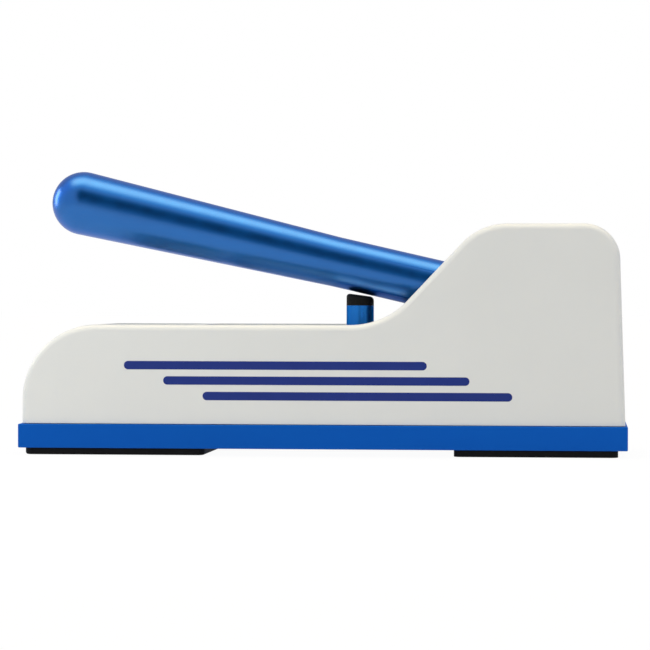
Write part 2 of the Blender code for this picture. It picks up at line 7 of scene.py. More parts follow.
import bmesh
import bpy
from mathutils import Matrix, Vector


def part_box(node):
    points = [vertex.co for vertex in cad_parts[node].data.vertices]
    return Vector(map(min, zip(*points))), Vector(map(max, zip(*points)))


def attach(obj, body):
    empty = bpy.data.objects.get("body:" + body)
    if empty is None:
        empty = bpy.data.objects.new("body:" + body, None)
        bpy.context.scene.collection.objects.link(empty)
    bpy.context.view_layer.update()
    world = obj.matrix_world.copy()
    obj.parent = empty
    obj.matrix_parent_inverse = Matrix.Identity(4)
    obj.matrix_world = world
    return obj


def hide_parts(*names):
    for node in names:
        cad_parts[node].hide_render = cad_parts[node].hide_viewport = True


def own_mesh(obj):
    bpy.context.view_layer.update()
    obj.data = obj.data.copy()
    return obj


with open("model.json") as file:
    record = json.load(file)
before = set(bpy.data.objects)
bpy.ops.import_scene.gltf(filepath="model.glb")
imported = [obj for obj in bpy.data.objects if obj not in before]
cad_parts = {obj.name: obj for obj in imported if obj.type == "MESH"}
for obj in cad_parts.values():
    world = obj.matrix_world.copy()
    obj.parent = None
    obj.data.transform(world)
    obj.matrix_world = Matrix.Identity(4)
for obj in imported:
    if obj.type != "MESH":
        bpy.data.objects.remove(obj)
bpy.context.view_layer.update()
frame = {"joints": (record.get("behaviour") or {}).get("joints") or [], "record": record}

# What the frame says
BODY = {node: body for body, nodes in frame["record"]["behaviour"]["bodies"].items() for node in nodes}
SLOT = {part["node"]: part["material_slot"] for part in frame["record"]["subparts"]}
BASE_LOW, BASE_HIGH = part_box("base_plate")
SHELL_LOW, SHELL_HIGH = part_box("housing_shell")
PIVOT = Vector(next(joint for joint in frame["joints"] if joint["name"] == "handle_hinge")["pos_m"])
FLOOR = SHELL_LOW.z
BASE_SCREW_SETS = ("housing_screw", "anvil_screw", "bracket_screw", "seat_screw")
BASE_SCREWS = sorted(node for node in SLOT if node.startswith(BASE_SCREW_SETS))
SIDES = (("left", -1), ("right", 1))

# Housing, as in the CAD part
WALL = 0.0028
EDGE_ROUND = 0.0032
SIDE_DRAFT = math.radians(1.5)
NOSE_R = 0.0375
DECK_Z = 0.0654
SLOPE = math.radians(46.7)
SLOPE_FOOT_X = 0.0315
SLOPE_FOOT_R = 0.0394
BROW_R = 0.0313
BACK_R = 0.018
BACK_TOP_X = 0.1485
WELL = (-0.116, -0.066)
WELL_FLOOR = 0.026
TROUGH = (-0.060, 0.0415)
TROUGH_FLOOR = 0.0447
TROUGH_HALF_WIDTH = 0.037
POCKET_ROUND = 0.006
SLOT_END = 0.082
SLOT_FLOOR = 0.058
SLOT_HALF_WIDTH = 0.018
SLOT_ROUND = 0.003
BROW_WINDOW_TOP = 0.098
SPRING_OPENING_R = 0.0095
BOSS_R = 0.0045
REAR_BOSS_R = 0.0062
RIM_ROUND = 0.0009

# Handle, as in the CAD part
HANDLE_TILT = math.radians(12.95)
HANDLE_R = 0.01275
GRIP_R = 0.01625
TAPER_START = 0.1068
GRIP_CENTRE = 0.2407
HANDLE_TAIL = 0.0164
FLAT_HALF_WIDTH = 0.011
FLAT_LENGTH = 0.014
PIN_R = 0.00475
BUSH_R = 0.0064
BUSH_FLANGE_R = 0.0095
BUSH_FLANGE = 0.002
STOP_ROD_R = 0.003
GROOVE_DEPTH = 0.0006
CLIP_THICK = 0.001

# Bracket, ram and anvil, as in the CAD part
BRACKET_INNER = 0.0136
BRACKET_THICK = 0.0035
BRACKET_FLOOR = 0.003
PILLAR_R = 0.004
SPRING_WELL_R = 0.0063
SPRING_WELL_DEPTH = 0.014
RAM_BUSH_R = 0.006
CAP_THICK = 0.0053
CAP_ROUND = 0.0018
CAP_SLANT = math.radians(7.5)

# Springs: the coil's radius, the wire's radius and the number of turns
RAM_SPRING = dict(coil_r=0.0052, wire_r=0.0006, turns=6.5)
HANDLE_SPRING = dict(coil_r=0.00635, wire_r=0.00065, turns=11)

# Screws
SCREW_R = 0.002
SCREW_HOLE_R = 0.0023
CLEARANCE_R = 0.0024
SINK_R = 0.0048
SINK_DEPTH = 0.006
THREAD_PITCH = 0.0007
THREAD_DEPTH = 0.00025

GAP = 0.0002

# How far cutters reach past what they cut
ABOVE = 0.14  # over the hump
BELOW = 0.01  # into the base plate
ACROSS = 0.03  # to each side of the handle and the bracket

# Light: the studio's levels
SIDE_LIGHT = (0.69, 0.72, 0.78)
SKY_LIGHT = (0.60, 0.72, 1.05)
FAR_LIGHT = (0.48, 0.5, 0.56)
DARK_LIGHT = (0.0, 0.0, 0.0)
STRIP_LIGHT = (4.2, 3.42, 2.15)


# Objects

def add_object(name, bm):
    bmesh.ops.recalc_face_normals(bm, faces=bm.faces)
    mesh = bpy.data.meshes.new(name)
    bm.to_mesh(mesh)
    bm.free()
    obj = bpy.data.objects.new(name, mesh)
    bpy.context.scene.collection.objects.link(obj)
    return obj


def settle(obj, crease=35):
    """Applies the modifiers, drops the cutters they used, and shades the result smooth up to its creases."""
    cutters = [m.object for m in obj.modifiers if m.type == "BOOLEAN"]
    bpy.context.view_layer.update()
    graph = bpy.context.evaluated_depsgraph_get()
    mesh = bpy.data.meshes.new_from_object(obj.evaluated_get(graph))
    obj.modifiers.clear()
    obj.data = mesh
    for cutter in cutters:
        bpy.data.objects.remove(cutter)
    mesh.shade_smooth()
    mesh.set_sharp_from_angle(angle=math.radians(crease))
    return obj


def even_normals(obj):
    """Keeps the large flat faces flat where small rounded ones meet them."""
    modifier = obj.modifiers.new("even_normals", "WEIGHTED_NORMAL")
    modifier.keep_sharp = True
    modifier.weight = 100
    return settle(obj)


def boolean(target, operation, tool):
    modifier = target.modifiers.new(tool.name, "BOOLEAN")
    modifier.operation = operation
    modifier.solver = "EXACT"
    modifier.object = tool


def cut(target, *tools):
    for tool in tools:
        boolean(target, "DIFFERENCE", tool)


def round_edges(obj, width, segments=3, angle=50):
    bevel = obj.modifiers.new("rounded_edges", "BEVEL")
    bevel.width = width
    bevel.segments = segments
    bevel.limit_method = "ANGLE"
    bevel.angle_limit = math.radians(angle)
    return obj


def stand_for(piece, node):
    """The piece takes the CAD node's place, body, slot and finish."""
    even_normals(settle(piece))
    piece.data.materials.clear()
    piece.data.materials.append(FINISHES[SLOT[node]])
    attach(piece, BODY[node])
    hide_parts(node)
    return piece


def middle(node):
    low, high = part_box(node)
    return (low + high) / 2


def half_size(node):
    low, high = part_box(node)
    return (high - low) / 2


def foot_of(node):
    """The point on the ground under a CAD node's middle."""
    return (*middle(node).xy, 0)


# Outlines

def arc(centre, radius, start, end, step):
    count = max(2, math.ceil(abs(end - start) / step))
    angles = [start + (end - start) * i / count for i in range(count + 1)]
    return [(centre[0] + radius * math.cos(a), centre[1] + radius * math.sin(a)) for a in angles]


def rounded_rectangle(x0, x1, y0, y1, radius, segments=8):
    quarter = math.pi / 2
    centres = [(x1 - radius, y1 - radius), (x0 + radius, y1 - radius),
               (x0 + radius, y0 + radius), (x1 - radius, y0 + radius)]
    points = []
    for i, centre in enumerate(centres):
        points += arc(centre, radius, i * quarter, (i + 1) * quarter, quarter / segments)
    return points


def hexagon(across_flats):
    radius = across_flats / math.sqrt(3)
    return [(radius * math.cos(i * math.pi / 3), radius * math.sin(i * math.pi / 3)) for i in range(6)]


def fillet(points, segments=4):
    """Rounds the corners of an open outline: a point may carry its corner's radius as a third number."""
    made = []
    for i, (a, b, *radius) in enumerate(points):
        if not radius:
            made.append((a, b))
            continue
        corner = Vector((a, b))
        before = (Vector(points[i - 1][:2]) - corner).normalized()
        after = (Vector(points[i + 1][:2]) - corner).normalized()
        half = before.angle(after) / 2
        centre = corner + (before + after).normalized() * radius[0] / math.sin(half)
        reach = radius[0] / math.tan(half)
        start = corner + before * reach - centre
        end = corner + after * reach - centre
        first = math.atan2(start.y, start.x)
        sweep = (math.atan2(end.y, end.x) - first + math.pi) % math.tau - math.pi
        made += arc(centre, radius[0], first, first + sweep, abs(sweep) / segments + 1e-6)
    return made


# Solids

def prism(name, outline, low, high, along="Z"):
    """Extrudes an outline from low to high: XY along Z, XZ along Y, or YZ along X."""
    place = {
        "Z": lambda a, b, c: (a, b, c),
        "Y": lambda a, b, c: (a, c, b),
        "X": lambda a, b, c: (c, a, b),
    }[along]
    bm = bmesh.new()
    rings = [[bm.verts.new(place(a, b, level)) for a, b in outline] for level in (low, high)]
    bridge(bm, rings)
    return add_object(name, bm)


def bridge(bm, rings):
    """Skins a stack of rings and closes both of its ends."""
    count = len(rings[0])
    for lower, upper in zip(rings, rings[1:]):
        for i in range(count):
            after = (i + 1) % count
            bm.faces.new((lower[i], lower[after], upper[after], upper[i]))
    bm.faces.new(rings[0])
    bm.faces.new(rings[-1])


def slab(name, x, y, z, corner=0.0):
    if corner:
        outline = rounded_rectangle(*x, *y, corner)
    else:
        outline = [(x[0], y[0]), (x[1], y[0]), (x[1], y[1]), (x[0], y[1])]
    return prism(name, outline, *z)


def soft_slab(name, node, corner, low_edge, high_edge, steps=4):
    """A block of a CAD node's size with rounded upright corners, and rounded edges below and above."""
    low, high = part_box(node)
    angles = [math.pi / 2 * i / steps for i in range(steps + 1)]
    levels = [(low.z + low_edge * (1 - math.cos(a)), low_edge * (1 - math.sin(a))) for a in angles]
    levels += [(high.z - high_edge * (1 - math.sin(a)), high_edge * (1 - math.cos(a))) for a in angles]
    bm = bmesh.new()
    rings = []
    for z, inset in levels:
        outline = rounded_rectangle(low.x + inset, high.x - inset, low.y + inset, high.y - inset,
                                    corner - inset)
        rings.append([bm.verts.new((x, y, z)) for x, y in outline])
    bridge(bm, rings)
    return add_object(name, bm)


def turned(name, profile, place=(0, 0, 0), along="Z", sides=64):
    """Spins a profile of (radius, height) points, some of them with a corner radius, about an axis."""
    profile = fillet(profile)
    bm = bmesh.new()
    verts = [bm.verts.new((r, 0, h)) for r, h in profile]
    edges = [bm.edges.new(pair) for pair in zip(verts, verts[1:])]
    if profile[0][0] or profile[-1][0]:
        edges.append(bm.edges.new((verts[-1], verts[0])))
    bmesh.ops.spin(bm, geom=verts + edges, cent=(0, 0, 0), axis=(0, 0, 1),
                   angle=math.tau, steps=sides, use_merge=True)
    bmesh.ops.remove_doubles(bm, verts=bm.verts, dist=1e-7)
    obj = add_object(name, bm)
    obj.location = place
    if along == "Y":
        obj.rotation_euler = (-math.pi / 2, 0, 0)
    return obj


def rod(name, radius, low, high, place=(0, 0, 0), along="Z", sides=64):
    return turned(name, [(0, low), (radius, low), (radius, high), (0, high)], place, along, sides)


def spring(name, node, coil_r, wire_r, turns):
    """A compression spring between a CAD spring's ends: a round wire on a helix that closes at both ends."""
    low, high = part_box(node)
    per_turn, around, closed_turns = 36, 10, 0.9
    closed_pitch = 2.05 * wire_r  # the wire's thickness and a little air
    rise = high.z - low.z - 2 * wire_r
    open_pitch = (rise - 2 * closed_turns * closed_pitch) / (turns - 2 * closed_turns)
    bm = bmesh.new()
    rings = []
    for i in range(int(turns * per_turn) + 1):
        turn = i / per_turn
        in_closed = min(turn, closed_turns) + max(0, turn - (turns - closed_turns))
        height = low.z + wire_r + closed_pitch * in_closed + open_pitch * (turn - in_closed)
        angle = math.tau * turn
        out = Vector((math.cos(angle), math.sin(angle), 0))
        centre = out * coil_r + Vector((0, 0, height))
        rings.append([bm.verts.new(centre + wire_r * (math.cos(t) * out + math.sin(t) * Vector((0, 0, 1))))
                      for t in (math.tau * k / around for k in range(around))])
    bridge(bm, rings)
    obj = add_object(name, bm)
    obj.location = foot_of(node)
    return obj


# Finishes

def add_node(tree, kind, inputs=None, **settings):
    """Adds a shader node; an input's value is a constant or another node's output."""
    made = tree.nodes.new("ShaderNode" + kind)
    for key, value in settings.items():
        setattr(made, key, value)
    for key, value in (inputs or {}).items():
        if isinstance(value, bpy.types.NodeSocket):
            tree.links.new(value, made.inputs[key])
        else:
            made.inputs[key].default_value = value
    return made


def noise(tree, place, scale, detail=3.0):
    """Noise from about 0.25 to 0.75. A scale of three numbers stretches it along the axes."""
    if not isinstance(scale, tuple):
        scale = (scale,) * 3
    stretched = add_node(tree, "VectorMath", {0: place, 1: scale}, operation="MULTIPLY")
    made = add_node(tree, "TexNoise", {"Vector": stretched.outputs[0], "Scale": 1.0, "Detail": detail})
    return made.outputs["Fac"]


def spread(tree, value, low, high, start=0.3, end=0.7):
    """Maps a value between start and end to one between low and high."""
    made = add_node(tree, "MapRange", {"Value": value, "From Min": start, "From Max": end,
                                       "To Min": low, "To Max": high})
    return made.outputs["Result"]


def edge_mask(tree, width):
    """1 on the edges, falling to 0 within this width of them."""
    rounded = add_node(tree, "Bevel", {"Radius": width}, samples=4).outputs["Normal"]
    straight = add_node(tree, "NewGeometry").outputs["Normal"]
    match = add_node(tree, "VectorMath", {0: rounded, 1: straight}, operation="DOT_PRODUCT").outputs["Value"]
    edge, flat = 0.8, 0.99
    return spread(tree, match, 1.0, 0.0, edge, flat)


def finish(name, colour, roughness, metallic=0.0, tone=(20, 0.03), gloss=(45, 0.05),
           grain=((2500,) * 3, 4e-6), ripple=((60,) * 3, 2e-5), worn=(0.0007, (0.8, 0.8, 0.8), 0.3, 0.1),
           specks=None, **constants):
    """A procedural finish. Its colour varies by tone's share and its roughness by gloss's amount, each at a
    scale. Grain and ripple are fine and broad relief, each with a scale and a depth. Worn edges have a width,
    a colour, a strength and a change of roughness. Specks have a scale, a colour and a strength. Any other
    keyword sets the shader's input of that name."""
    made = bpy.data.materials.new(name)
    made.use_nodes = True
    tree = made.node_tree
    shader = tree.nodes["Principled BSDF"]
    shader.inputs["Metallic"].default_value = metallic
    for key, value in constants.items():
        shader.inputs[key.replace("_", " ")].default_value = value
    place = add_node(tree, "TexCoord").outputs["Object"]

    lightness = spread(tree, noise(tree, place, tone[0]), 1 - tone[1], 1 + tone[1])
    toned = add_node(tree, "HueSaturation", {"Color": (*colour, 1), "Value": lightness}).outputs["Color"]
    if specks:
        speck_scale, speck_colour, speck_strength = specks
        rare, full = 0.56, 0.68
        speck_mask = spread(tree, noise(tree, place, speck_scale, 2), 0, speck_strength, rare, full)
        toned = add_node(tree, "MixRGB", {"Fac": speck_mask, "Color1": toned,
                                          "Color2": (*speck_colour, 1)}).outputs["Color"]
    width, worn_colour, strength, roughened = worn
    rub_scale, least_rub = 420, 0.15
    rubbed = spread(tree, noise(tree, place, rub_scale, 4), least_rub, 1)
    wear = add_node(tree, "Math", {0: edge_mask(tree, width), 1: rubbed}, operation="MULTIPLY").outputs[0]
    share = add_node(tree, "Math", {0: wear, 1: strength}, operation="MULTIPLY").outputs[0]
    coloured = add_node(tree, "MixRGB", {"Fac": share, "Color1": toned, "Color2": (*worn_colour, 1)})
    tree.links.new(coloured.outputs["Color"], shader.inputs["Base Color"])

    patchy = spread(tree, noise(tree, place, gloss[0]), roughness - gloss[1], roughness + gloss[1])
    rough = add_node(tree, "Math", {0: wear, 1: roughened, 2: patchy}, operation="MULTIPLY_ADD").outputs[0]
    tree.links.new(rough, shader.inputs["Roughness"])

    broad = add_node(tree, "Bump", {"Height": noise(tree, place, ripple[0], 2), "Distance": ripple[1]})
    fine = add_node(tree, "Bump", {"Height": noise(tree, place, grain[0], 2), "Distance": grain[1],
                                   "Normal": broad.outputs[0]})
    tree.links.new(fine.outputs[0], shader.inputs["Normal"])
    return made


def make_finishes():
    bare = (0.55, 0.58, 0.62)
    return {
        "base_blue": finish("blue_anodised_plate", (0.003, 0.119, 0.56), 0.5, 0.75, tone=((6, 25, 25), 0.05),
                            grain=((90, 2600, 2600), 3e-6), worn=(0.0006, bare, 0.12, 0.05),
                            Specular_Tint=(0.5, 0.75, 1.0, 1.0)),
        "post_blue": finish("blue_anodised_post", (0.022, 0.20, 0.64), 0.3, 1.0, tone=(60, 0.04),
                            gloss=(160, 0.03), grain=((3600, 3600, 900), 1.2e-6),
                            worn=(0.0004, bare, 0.12, 0.05), Specular_Tint=(0.3, 0.4, 0.55, 1.0)),
        "handle_blue": finish("blue_anodised_bar", (0.006, 0.15, 0.52), 0.34, 1.0, tone=((40, 40, 12), 0.04),
                              gloss=(160, 0.03), grain=((3600, 3600, 900), 1.2e-6), ripple=((90,) * 3, 2e-6),
                              worn=(0.0005, bare, 0.15, 0.05), Coat_Weight=0.8, Coat_Roughness=0.2,
                              Specular_Tint=(0.25, 0.5, 1.0, 1.0)),
        "white_plastic": finish("white_moulded_plastic", (0.78, 0.806, 0.775), 0.4, tone=(14, 0.012),
                                gloss=(30, 0.06), grain=((2200,) * 3, 5e-6), ripple=((35,) * 3, 3e-5),
                                worn=(0.001, (0.88, 0.88, 0.86), 0.25, 0.08)),
        "black_rubber": finish("black_moulded_rubber", (0.005, 0.005, 0.005), 0.62, tone=(60, 0.2),
                               grain=((1500,) * 3, 1.6e-5), worn=(0.0008, (0.03, 0.03, 0.03), 0.5, 0.15),
                               specks=(1100, (0.02, 0.02, 0.02), 0.3), Specular_IOR_Level=0.18),
        "bracket_steel": finish("folded_sheet_steel", (0.55, 0.56, 0.57), 0.34, 1.0, tone=(50, 0.06),
                                grain=((2500, 2500, 70), 2.5e-6)),
        "stainless": finish("ground_stainless", (0.70, 0.70, 0.69), 0.22, 1.0,
                            grain=((2800, 2800, 5200), 1.5e-6)),
        "aluminium": finish("milled_aluminium", (0.72, 0.73, 0.74), 0.36, 1.0, tone=(40, 0.05),
                            grain=((1500, 160, 1500), 3e-6)),
        "bronze": finish("sintered_bronze", (0.55, 0.34, 0.14), 0.4, 1.0, grain=((1600,) * 3, 2e-5),
                         specks=(1800, (0.16, 0.09, 0.04), 0.7)),
        "nylon": finish("natural_nylon", (0.75, 0.73, 0.66), 0.48, worn=(0.0007, (0.85, 0.84, 0.8), 0.3, 0.1),
                        Subsurface_Weight=0.15, Subsurface_Scale=0.002),
        "spring_steel": finish("drawn_spring_wire", (0.45, 0.45, 0.46), 0.27, 1.0, tone=(200, 0.08)),
        "zinc_screw": finish("bright_zinc_plate", (0.60, 0.60, 0.58), 0.3, 1.0, tone=(300, 0.1),
                             gloss=(300, 0.08)),
        "stripe_ink": finish("navy_pad_print", (0.012, 0.031, 0.215), 0.42, tone=(60, 0.04),
                             grain=((2600,) * 3, 3e-6), worn=(0.0003, (0.035, 0.06, 0.28), 0.3, 0.05),
                             Specular_IOR_Level=0.25),
    }


# Base plate and feet

def sink_cutter(node):
    """A clearance hole with a counterbore from below and a small chamfer at its mouth."""
    low, high = BASE_LOW.z, BASE_HIGH.z
    chamfer = 0.0003
    outside = 0.001
    profile = [(0, low - outside), (SINK_R + chamfer + outside, low - outside), (SINK_R, low + chamfer),
               (SINK_R, low + SINK_DEPTH), (CLEARANCE_R, low + SINK_DEPTH), (CLEARANCE_R, high - chamfer),
               (CLEARANCE_R + chamfer + outside, high + outside), (0, high + outside)]
    return turned(f"sink_{node}", profile, foot_of(node), sides=40)


def screw_hole(node, end):
    """A hole for a base screw's thread, up to its end."""
    return rod(f"hole_{node}", SCREW_HOLE_R, BELOW, end, place=foot_of(node), sides=32)


def make_base():
    plate = soft_slab("base_plate_anodised", "base_plate", 0.0009, 0.0006, 0.0006)
    cut(plate, *[sink_cutter(node) for node in BASE_SCREWS])
    stand_for(plate, "base_plate")


def make_foot(name, node, low_edge):
    """A rubber pad with grip grooves underneath, which stop short of its rim."""
    pad = soft_slab(name, node, 0.004, low_edge, 0.0003)
    low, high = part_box(node)
    rim, pitch, half, depth = 0.005, 0.005, 0.0009, 0.0008
    count = int((high.x - low.x - 2 * rim) / pitch)
    for i in range(count + 1):
        x = (low.x + high.x) / 2 + (i - count / 2) * pitch
        cut(pad, slab(f"groove_{i}", (x - half, x + half), (low.y + rim, high.y - rim),
                      (low.z - depth, low.z + depth), corner=0.0008))
    stand_for(pad, node)


# Housing

def side_outline(inset, foot_z, step):
    """The housing's outline from the side, inset from its outer faces and open at its foot."""
    nose = (SHELL_LOW.x + NOSE_R, DECK_Z - NOSE_R)
    foot = (SLOPE_FOOT_X - SLOPE_FOOT_R * math.tan(SLOPE / 2), DECK_Z + SLOPE_FOOT_R)
    top_x = SLOPE_FOOT_X + (SHELL_HIGH.z - DECK_Z) / math.tan(SLOPE)
    brow = (top_x + BROW_R * math.tan(SLOPE / 2), SHELL_HIGH.z - BROW_R)
    back = (BACK_TOP_X - BACK_R, SHELL_HIGH.z - BACK_R)
    up = math.pi / 2
    return (
        [(SHELL_LOW.x + inset, foot_z)]
        + arc(nose, NOSE_R - inset, 2 * up, up, step)
        + arc(foot, SLOPE_FOOT_R + inset, -up, -up + SLOPE, step)
        + arc(brow, BROW_R - inset, up + SLOPE, up, step)
        + arc(back, BACK_R - inset, up, 0, step)
        + [(SHELL_HIGH.x - inset, foot_z)]
    )


def side_y(z):
    """How far the housing's side stands from the middle plane at height z."""
    return SHELL_HIGH.y - math.tan(SIDE_DRAFT) * (z - FLOOR)


def drafted_body(name, inset, foot_z, edge_round, step):
    """The side outline drawn across the housing, with leaning sides and, if wanted, rounded rims."""
    bm = bmesh.new()
    outline = side_outline(inset, foot_z, step)
    rings = [[bm.verts.new((x, side * (side_y(z) - inset), z)) for x, z in outline] for _, side in SIDES]
    bridge(bm, rings)
    if edge_round:
        rims = [bm.edges.get((ring[i], ring[i + 1])) for ring in rings for i in range(len(outline) - 1)]
        bmesh.ops.recalc_face_normals(bm, faces=bm.faces)
        bmesh.ops.bevel(bm, geom=rims, offset=edge_round, segments=8, profile=0.5,
                        affect="EDGES", clamp_overlap=False)
    return add_object(name, bm)


def make_housing():
    fine = math.radians(3)
    shell = drafted_body("housing_moulding", 0, FLOOR, EDGE_ROUND, fine)
    below_floor = 0.008
    cavity = drafted_body("cavity", WALL, below_floor, 0, 2 * fine)
    wide = TROUGH_HALF_WIDTH + WALL
    narrow = SLOT_HALF_WIDTH + WALL
    into_trough_wall = 0.004
    cut(
        cavity,
        slab("well_walls", (WELL[0] - WALL, WELL[1] + into_trough_wall), (-wide, wide),
             (WELL_FLOOR - WALL, ABOVE)),
        slab("trough_walls", (TROUGH[0] - WALL, TROUGH[1] + WALL), (-wide, wide),
             (TROUGH_FLOOR - WALL, ABOVE)),
        slab("slot_walls", (TROUGH[1], SLOT_END + WALL), (-narrow, narrow), (SLOT_FLOOR - WALL, ABOVE)),
    )
    settle(cavity)
    trough = (-TROUGH_HALF_WIDTH, TROUGH_HALF_WIDTH)
    slot = (-SLOT_HALF_WIDTH, SLOT_HALF_WIDTH)
    block_low, block_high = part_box("anvil_block")
    gap = 0.0005
    cut(
        shell,
        cavity,
        slab("well_pocket", WELL, trough, (WELL_FLOOR, ABOVE), corner=POCKET_ROUND),
        slab("trough_pocket", TROUGH, trough, (TROUGH_FLOOR, ABOVE), corner=POCKET_ROUND),
        slab("slot_pocket", (TROUGH[1] - POCKET_ROUND, SLOT_END), slot, (SLOT_FLOOR, ABOVE),
             corner=SLOT_ROUND),
        slab("brow_window", (SLOT_END - SLOT_ROUND - 0.001, SLOT_END + 2 * WALL), slot,
             (SLOT_FLOOR, BROW_WINDOW_TOP)),
        slab("anvil_opening", (block_low.x - gap, block_high.x + gap),
             (block_low.y - gap, block_high.y + gap), (TROUGH_FLOOR - 2 * WALL, TROUGH_FLOOR + WALL)),
        rod("spring_opening", SPRING_OPENING_R, SLOT_FLOOR - 2 * WALL, SLOT_FLOOR + WALL,
            place=(middle("handle_spring").x, 0, 0)),
    )
    settle(shell)
    round_edges(shell, RIM_ROUND)
    settle(shell)
    for node in BASE_SCREWS:
        if node.startswith("housing"):
            add_boss(shell, node)
    stand_for(shell, "housing_shell")


def add_boss(shell, node):
    """A pillar inside the housing with a hole for its screw, which widens at the mouth."""
    place = foot_of(node)
    rear = place[0] > 0
    foot, top = FLOOR + GAP, 0.045 if rear else 0.0425
    radius = REAR_BOSS_R if rear else BOSS_R
    boss = turned(f"boss_{node}", [(0, foot), (radius, foot, 0.0004), (radius, top), (0, top)], place,
                  sides=40)
    start, mouth_end, end, tip = 0.012, 0.0167, 0.031, 0.032
    mouth_r = SCREW_HOLE_R + 0.0043
    hole = turned(f"boss_hole_{node}", [
        (0, start), (mouth_r, start), (SCREW_HOLE_R, mouth_end), (SCREW_HOLE_R, end), (0, tip)],
        place, sides=32)
    boolean(shell, "UNION", boss)
    cut(shell, hole)


def make_stripes():
    """Plain printed stripes on both sides, a hair proud of the drafted wall."""
    # Each stripe's front end, back end and height
    rows = [(-0.0989, 0.0530, 0.0451), (-0.0790, 0.0742, 0.0375), (-0.0591, 0.0954, 0.0298)]
    half, proud, sunk = 0.0021, 0.00006, 0.00005
    end_round = 0.98 * half
    for name, side in SIDES:
        bm = bmesh.new()
        for x0, x1, z in rows:
            outline = rounded_rectangle(x0, x1, z - half, z + half, end_round)
            bridge(bm, [[bm.verts.new((a, side * (side_y(b) + out), b)) for a, b in outline]
                        for out in (-sunk, proud)])
        stripes = settle(add_object(f"side_stripes_{name}", bm))
        stripes.data.materials.append(FINISHES["stripe_ink"])
        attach(stripes, "root")


# Handle and its pivot

def place_on_handle(obj):
    """Stands a piece, made about its own Z, on the pivot and along the handle."""
    obj.location = PIVOT
    obj.rotation_euler = (0, HANDLE_TILT - math.pi / 2, 0)
    return obj


def make_handle():
    taper = math.atan((GRIP_R - HANDLE_R) / (GRIP_CENTRE - TAPER_START))
    dome = arc((0, GRIP_CENTRE), GRIP_R, -taper, math.pi / 2, math.radians(4))
    dome[-1] = (0, GRIP_CENTRE + GRIP_R)  # exactly on the axis
    profile = [(0, -HANDLE_TAIL), (HANDLE_R, -HANDLE_TAIL, 0.001), (HANDLE_R, TAPER_START)] + dome
    bar = place_on_handle(turned("handle_grip_bar", profile, sides=128))
    for name, side in SIDES:
        span = sorted((side * FLAT_HALF_WIDTH, side * 2 * HANDLE_R))
        cut(bar, place_on_handle(slab(f"flat_{name}", (-2 * HANDLE_R, 2 * HANDLE_R), span,
                                      (-2 * HANDLE_TAIL, FLAT_LENGTH))))
    button_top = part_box("spring_button")[1].z
    seat_r, under_bar = 0.0078, 0.05
    cut(bar, rod("cross_bore", BUSH_R + GAP, -ACROSS, ACROSS, place=PIVOT, along="Y"),
        rod("button_seat", seat_r, under_bar, button_top + GAP, place=(middle("spring_button").x, 0, 0)))
    settle(bar)
    round_edges(bar, 0.00025, 2, 40)
    stand_for(bar, "handle_bar")

    inner, chamfer, start = PIN_R + GAP, 0.0004, 0.001
    flange_in = FLAT_HALF_WIDTH + GAP
    flange_out = flange_in + BUSH_FLANGE
    for name, side in SIDES:
        bush = turned(f"flanged_pivot_bush_{name}", [
            (inner, side * start), (BUSH_R, side * start, 0.0003), (BUSH_R, side * flange_in),
            (BUSH_FLANGE_R, side * flange_in, 0.0003), (BUSH_FLANGE_R, side * flange_out, 0.0004),
            (inner + chamfer, side * flange_out), (inner, side * (flange_out - chamfer))], PIVOT, "Y")
        stand_for(bush, "pivot_bush_" + name)


def make_spring_button():
    low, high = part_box("spring_button")
    radius, peg_r, flange = half_size("spring_button").x, 0.0045, 0.0024
    button = turned("moulded_spring_button", [
        (0, low.z), (peg_r, low.z, 0.0012), (peg_r, high.z - flange, 0.0004),
        (radius, high.z - flange, 0.0004), (radius, high.z, 0.0004), (0, high.z)], foot_of("spring_button"))
    stand_for(button, "spring_button")


def grooved_rod(name, node, radius):
    """A cross rod with a clip groove near each end."""
    half_length = half_size(node).y
    groove_in = BRACKET_INNER + BRACKET_THICK + 0.0003
    groove_out = groove_in + CLIP_THICK + GAP
    thin = radius - GROOVE_DEPTH
    half = [(radius, groove_in), (thin, groove_in), (thin, groove_out), (radius, groove_out, 0.0002),
            (radius, half_length, 0.0006), (0, half_length)]
    mirrored = [(r, -h, *rest) for r, h, *rest in reversed(half)]
    stand_for(turned(name, mirrored + half, middle(node), "Y"), node)


def retaining_clip(name, node, rod_node, radius):
    """An open ring with three inner lugs, snapped into a rod's groove."""
    mouth = math.radians(38)
    inner, outer, relief = radius - GROOVE_DEPTH + GAP, radius + 0.0028, radius + 0.0006
    step = math.radians(5)
    outline = arc((0, 0), outer, mouth, math.tau - mouth, step)
    lug = math.radians(26)
    starts = [math.tau - mouth - i * (math.tau - 2 * mouth - lug) / 2 for i in range(3)]
    for i, start in enumerate(starts):
        outline += arc((0, 0), inner, start, start - lug, step)
        if i < 2:
            outline += arc((0, 0), relief, start - lug - step / 2, starts[i + 1] + step / 2, step)
    low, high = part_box(node)
    clip = prism(name, outline, low.y, high.y, along="Y")
    clip.location = middle(rod_node)
    round_edges(clip, 0.0001, 2)
    stand_for(clip, node)


